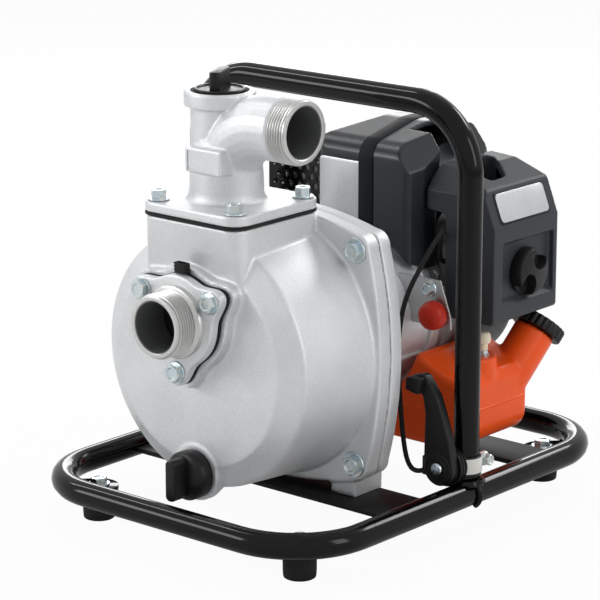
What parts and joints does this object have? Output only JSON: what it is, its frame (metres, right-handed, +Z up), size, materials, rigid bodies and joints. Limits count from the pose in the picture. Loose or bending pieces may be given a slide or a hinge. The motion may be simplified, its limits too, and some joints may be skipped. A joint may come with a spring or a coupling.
{
  "type": "portable fire pump",
  "caption": "Portable engine-driven fire pump: self-priming cast pump drum with threaded suction and discharge ports, coupled to a small engine on a tube carrying frame.",
  "frame": {"origin": "centre of the bounding box at floor level, under the feet", "axes": "+Z up, -Y out of the suction port, +X out of the discharge port, +Y towards the engine's starter"},
  "size_m": [0.2913, 0.3853, 0.3494],
  "materials": {
    "base_frame": "gloss black paint",
    "carry_hoop": "gloss black paint",
    "front_cross_plate": "gloss black paint",
    "rear_cross_plate": "gloss black paint",
    "rubber_foot_1": "moulded black rubber",
    "rubber_foot_2": "moulded black rubber",
    "rubber_foot_3": "moulded black rubber",
    "rubber_foot_4": "moulded black rubber",
    "foot_bolt_1": "zinc-plated steel",
    "foot_bolt_2": "zinc-plated steel",
    "foot_bolt_3": "zinc-plated steel",
    "foot_bolt_4": "zinc-plated steel",
    "suction_bolt_1": "zinc-plated steel",
    "suction_bolt_2": "zinc-plated steel",
    "suction_bolt_3": "zinc-plated steel",
    "elbow_bolt_1": "zinc-plated steel",
    "elbow_bolt_2": "zinc-plated steel",
    "elbow_bolt_3": "zinc-plated steel",
    "elbow_bolt_4": "zinc-plated steel",
    "casing_bolt_1": "zinc-plated steel",
    "casing_bolt_2": "zinc-plated steel",
    "casing_bolt_3": "zinc-plated steel",
    "casing_bolt_4": "zinc-plated steel",
    "lever_screw": "zinc-plated steel",
    "pump_casing": "sand-cast, satin",
    "suction_flange": "sand-cast, satin",
    "discharge_elbow": "sand-cast, satin",
    "pump_back_plate": "sand-cast, satin",
    "volute": "sand-cast, satin",
    "impeller": "sand-cast, satin",
    "adapter_housing": "sand-cast, satin",
    "engine_block": "die-cast, satin",
    "flywheel": "die-cast, satin",
    "carburettor": "die-cast, satin",
    "suction_gasket": "matt black rubber",
    "check_valve_flap": "matt black rubber",
    "elbow_gasket": "matt black rubber",
    "casing_gasket": "matt black rubber",
    "priming_cap_seal": "matt black rubber",
    "drain_plug_seal": "matt black rubber",
    "throttle_cable": "black cable sleeve",
    "priming_cap": "satin black plastic",
    "drain_plug": "satin black plastic",
    "starter_housing": "satin black plastic",
    "starter_grip": "satin black plastic",
    "filter_knob": "satin black plastic",
    "fuel_cap": "satin black plastic",
    "throttle_bracket": "satin black plastic",
    "throttle_lever": "satin black plastic",
    "mechanical_seal": "bare steel",
    "crankshaft": "bare steel",
    "muffler": "bare steel",
    "stop_bracket": "bare steel",
    "muffler_guard": "black heat-proof paint",
    "top_cover": "charcoal grained plastic",
    "air_filter_cover": "grey grained plastic",
    "fuel_tank": "orange blow-moulded plastic",
    "primer_bulb": "clear cream rubber",
    "stop_button": "red plastic",
    "spark_plug": "white ceramic"
  },
  "bodies": {
    "pump_set": {"base_frame": "base_frame", "carry_hoop": "carry_hoop", "front_cross_plate": "front_cross_plate", "rear_cross_plate": "rear_cross_plate", "rubber_foot_1": "rubber_foot_1", "rubber_foot_2": "rubber_foot_2", "rubber_foot_3": "rubber_foot_3", "rubber_foot_4": "rubber_foot_4", "foot_bolt_1": "foot_bolt_1", "foot_bolt_2": "foot_bolt_2", "foot_bolt_3": "foot_bolt_3", "foot_bolt_4": "foot_bolt_4", "suction_bolt_1": "suction_bolt_1", "suction_bolt_2": "suction_bolt_2", "suction_bolt_3": "suction_bolt_3", "elbow_bolt_1": "elbow_bolt_1", "elbow_bolt_2": "elbow_bolt_2", "elbow_bolt_3": "elbow_bolt_3", "elbow_bolt_4": "elbow_bolt_4", "casing_bolt_1": "casing_bolt_1", "casing_bolt_2": "casing_bolt_2", "casing_bolt_3": "casing_bolt_3", "casing_bolt_4": "casing_bolt_4", "lever_screw": "lever_screw", "pump_casing": "pump_casing", "suction_flange": "suction_flange", "discharge_elbow": "discharge_elbow", "pump_back_plate": "pump_back_plate", "volute": "volute", "adapter_housing": "adapter_housing", "engine_block": "engine_block", "carburettor": "carburettor", "suction_gasket": "suction_gasket", "elbow_gasket": "elbow_gasket", "casing_gasket": "casing_gasket", "throttle_cable": "throttle_cable", "starter_housing": "starter_housing", "starter_grip": "starter_grip", "throttle_bracket": "throttle_bracket", "mechanical_seal": "mechanical_seal", "muffler": "muffler", "stop_bracket": "stop_bracket", "muffler_guard": "muffler_guard", "top_cover": "top_cover", "air_filter_cover": "air_filter_cover", "fuel_tank": "fuel_tank", "spark_plug": "spark_plug"},
    "rotor": {"crankshaft": "crankshaft", "impeller": "impeller", "flywheel": "flywheel"},
    "priming_seal_ring": {"priming_cap_seal": "priming_cap_seal"},
    "priming_cap_body": {"priming_cap": "priming_cap"},
    "drain_seal_ring": {"drain_plug_seal": "drain_plug_seal"},
    "drain_plug_body": {"drain_plug": "drain_plug"},
    "fuel_cap_body": {"fuel_cap": "fuel_cap"},
    "filter_knob_body": {"filter_knob": "filter_knob"},
    "throttle_lever_body": {"throttle_lever": "throttle_lever"},
    "stop_button_body": {"stop_button": "stop_button"},
    "primer_bulb_body": {"primer_bulb": "primer_bulb"},
    "check_valve_body": {"check_valve_flap": "check_valve_flap"}
  },
  "joints": [
    {"name": "rotor_spin", "type": "hinge", "parent": "pump_set", "child": "rotor", "pos_m": [0, 0.05, 0.1405], "axis": [0, 1, 0], "continuous": true},
    {"name": "priming_cap_lift", "type": "slide", "parent": "pump_set", "child": "priming_seal_ring", "axis": [0, 0, 1], "range_m": [0, 0.0031]},
    {"name": "priming_cap_turn", "type": "hinge", "parent": "priming_seal_ring", "child": "priming_cap_body", "pos_m": [-0.01, -0.1067, 0.3329], "axis": [0, 0, 1], "range_deg": [0, 360]},
    {"name": "drain_plug_lift", "type": "slide", "parent": "pump_set", "child": "drain_seal_ring", "axis": [0, -1, 0], "range_m": [0, 0.0031]},
    {"name": "drain_plug_turn", "type": "hinge", "parent": "drain_seal_ring", "child": "drain_plug_body", "pos_m": [0, -0.1494, 0.057], "axis": [0, -1, 0], "range_deg": [0, 360]},
    {"name": "fuel_cap_turn", "type": "hinge", "parent": "pump_set", "child": "fuel_cap_body", "pos_m": [0.0989, 0.13522, 0.12312], "axis": [0.15, 0.6201, 0.7701], "range_deg": [0, 270]},
    {"name": "filter_knob_turn", "type": "hinge", "parent": "pump_set", "child": "filter_knob_body", "pos_m": [0.1133, 0.099, 0.1815], "axis": [1, 0, 0], "range_deg": [0, 360]},
    {"name": "throttle_pivot", "type": "hinge", "parent": "pump_set", "child": "throttle_lever_body", "pos_m": [0.1255, -0.0123, 0.055], "axis": [0, -1, 0], "range_deg": [0, 55]},
    {"name": "stop_button_press", "type": "slide", "parent": "pump_set", "child": "stop_button_body", "axis": [0, 1, 0], "range_m": [0, 0.003], "stiffness_N_per_m": 400},
    {"name": "primer_bulb_press", "type": "slide", "parent": "pump_set", "child": "primer_bulb_body", "axis": [0, 0, 1], "range_m": [0, 0.004], "stiffness_N_per_m": 400},
    {"name": "check_valve_swing", "type": "hinge", "parent": "pump_set", "child": "check_valve_body", "pos_m": [0, -0.156, 0.1963], "axis": [1, 0, 0], "range_deg": [0, 50]}
  ],
  "couplings": [
    {"joint": "priming_cap_lift", "follows": "priming_cap_turn", "m_per_rad": 0.00047746},
    {"joint": "drain_plug_lift", "follows": "drain_plug_turn", "m_per_rad": 0.00047746}
  ]
}
